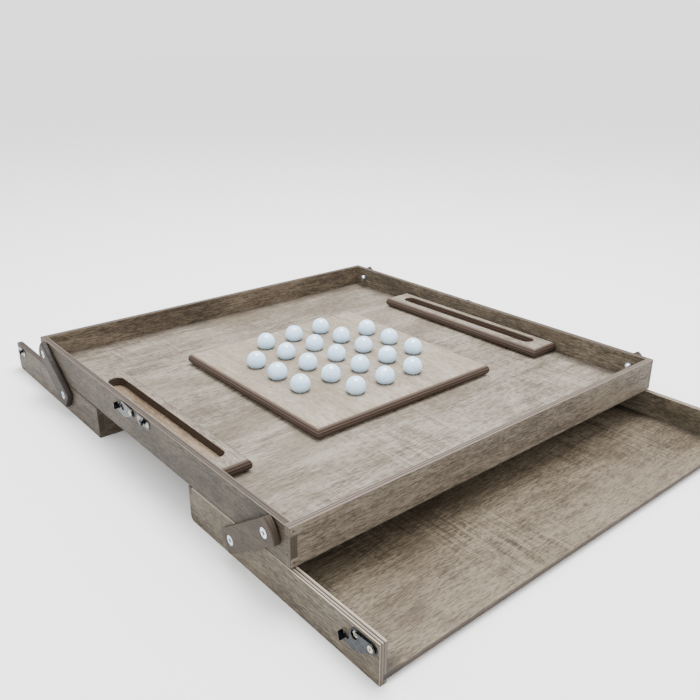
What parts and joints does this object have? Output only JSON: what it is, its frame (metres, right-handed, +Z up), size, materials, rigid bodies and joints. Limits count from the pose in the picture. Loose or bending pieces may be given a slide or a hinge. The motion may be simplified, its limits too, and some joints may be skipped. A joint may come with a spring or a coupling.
{
  "type": "folding game case",
  "caption": "Folding plywood game case whose half lids swing down on wooden link bars to become trays, holding a marble solitaire board and long trough blocks.",
  "frame": {"origin": "on the table under the centre of the box", "axes": "+X towards the tray with the hooks, +Y from the near wall to the far wall, +Z up"},
  "size_m": [0.695, 0.5084, 0.0754],
  "materials": {
    "wall_ply": "stained",
    "floor_ply": "stained",
    "link_ply": "stained",
    "board_ply": "stained",
    "trough_ply": "stained",
    "dark_brad": "dull",
    "zinc": "satin",
    "chrome_nut": "polished",
    "bright_steel": "satin",
    "dark_steel": "satin",
    "white_glass": "polished"
  },
  "bodies": {
    "box": {"box_floor": "floor_ply", "box_wall_near": "wall_ply", "box_wall_far": "wall_ply", "box_wall_front": "wall_ply", "box_wall_back": "wall_ply", "box_brads": "dark_brad", "box_bolts": "zinc", "box_washers": "zinc", "box_dome_nuts": "chrome_nut", "box_hook_base_near": "dark_steel", "box_hook_base_far": "dark_steel", "box_catch_near": "dark_steel", "box_catch_far": "dark_steel", "box_hook_rivets": "bright_steel", "box_catch_studs": "dark_steel", "box_clasp_screws": "bright_steel"},
    "right_links": {"link_right_near": "link_ply", "link_right_far": "link_ply"},
    "right_tray": {"right_tray_floor": "floor_ply", "right_tray_wall_near": "wall_ply", "right_tray_wall_far": "wall_ply", "right_tray_end_wall": "wall_ply", "right_tray_brads": "dark_brad", "right_tray_bolts": "zinc", "right_tray_washers": "zinc", "right_tray_dome_nuts": "chrome_nut", "right_tray_hook_base_near": "dark_steel", "right_tray_hook_base_far": "dark_steel", "right_tray_hook_rivets": "bright_steel", "right_tray_clasp_screws": "bright_steel"},
    "left_links": {"link_left_near": "link_ply", "link_left_far": "link_ply"},
    "left_tray": {"left_tray_floor": "floor_ply", "left_tray_wall_near": "wall_ply", "left_tray_wall_far": "wall_ply", "left_tray_end_wall": "wall_ply", "left_tray_brads": "dark_brad", "left_tray_bolts": "zinc", "left_tray_washers": "zinc", "left_tray_dome_nuts": "chrome_nut", "left_tray_catch_near": "dark_steel", "left_tray_catch_far": "dark_steel", "left_tray_catch_studs": "dark_steel", "left_tray_clasp_screws": "bright_steel"},
    "near_box_hook": {"box_hook_near": "dark_steel"},
    "far_box_hook": {"box_hook_far": "dark_steel"},
    "near_tray_hook": {"right_tray_hook_near": "dark_steel"},
    "far_tray_hook": {"right_tray_hook_far": "dark_steel"},
    "board": {"solitaire_board": "board_ply"},
    "marble_set": {"marbles": "white_glass"},
    "near_trough": {"trough_near": "trough_ply"},
    "far_trough": {"trough_far": "trough_ply"}
  },
  "joints": [
    {"name": "right_link_hinge", "type": "hinge", "parent": "box", "child": "right_links", "pos_m": [0.226, 0, 0.0583], "axis": [0, 1, 0], "range_deg": [-301.18, 0]},
    {"name": "right_tray_hinge", "type": "hinge", "parent": "right_links", "child": "right_tray", "pos_m": [0.17651, 0, 0.0243], "axis": [0, -1, 0], "range_deg": [-121.17, 0]},
    {"name": "left_link_hinge", "type": "hinge", "parent": "box", "child": "left_links", "pos_m": [-0.226, 0, 0.0583], "axis": [0, -1, 0], "range_deg": [-301.18, 0]},
    {"name": "left_tray_hinge", "type": "hinge", "parent": "left_links", "child": "left_tray", "pos_m": [-0.17651, 0, 0.0243], "axis": [0, 1, 0], "range_deg": [-121.17, 0]},
    {"name": "near_box_hook_hinge", "type": "hinge", "parent": "box", "child": "near_box_hook", "pos_m": [-0.0062, 0, 0.0658], "axis": [0, -1, 0], "range_deg": [-183, 0]},
    {"name": "near_tray_hook_hinge", "type": "hinge", "parent": "right_tray", "child": "near_tray_hook", "pos_m": [0.34, 0, 0.0278], "axis": [0, -1, 0], "range_deg": [-192.5, 0]},
    {"name": "far_box_hook_hinge", "type": "hinge", "parent": "box", "child": "far_box_hook", "pos_m": [-0.0062, 0, 0.0658], "axis": [0, -1, 0], "range_deg": [-183, 0]},
    {"name": "far_tray_hook_hinge", "type": "hinge", "parent": "right_tray", "child": "far_tray_hook", "pos_m": [0.34, 0, 0.0278], "axis": [0, -1, 0], "range_deg": [-192.5, 0]},
    {"name": "board_lift", "type": "slide", "parent": "box", "child": "board", "axis": [0, 0, 1], "range_m": [0, 0.06]},
    {"name": "marble_lift", "type": "slide", "parent": "board", "child": "marble_set", "axis": [0, 0, 1], "range_m": [0, 0.03]},
    {"name": "near_trough_lift", "type": "slide", "parent": "box", "child": "near_trough", "axis": [0, 0, 1], "range_m": [0, 0.06]},
    {"name": "far_trough_lift", "type": "slide", "parent": "box", "child": "far_trough", "axis": [0, 0, 1], "range_m": [0, 0.06]}
  ],
  "couplings": [
    {"joint": "right_link_hinge", "follows": "right_tray_hinge", "ratio": 2.4855},
    {"joint": "left_link_hinge", "follows": "left_tray_hinge", "ratio": 2.4855}
  ]
}
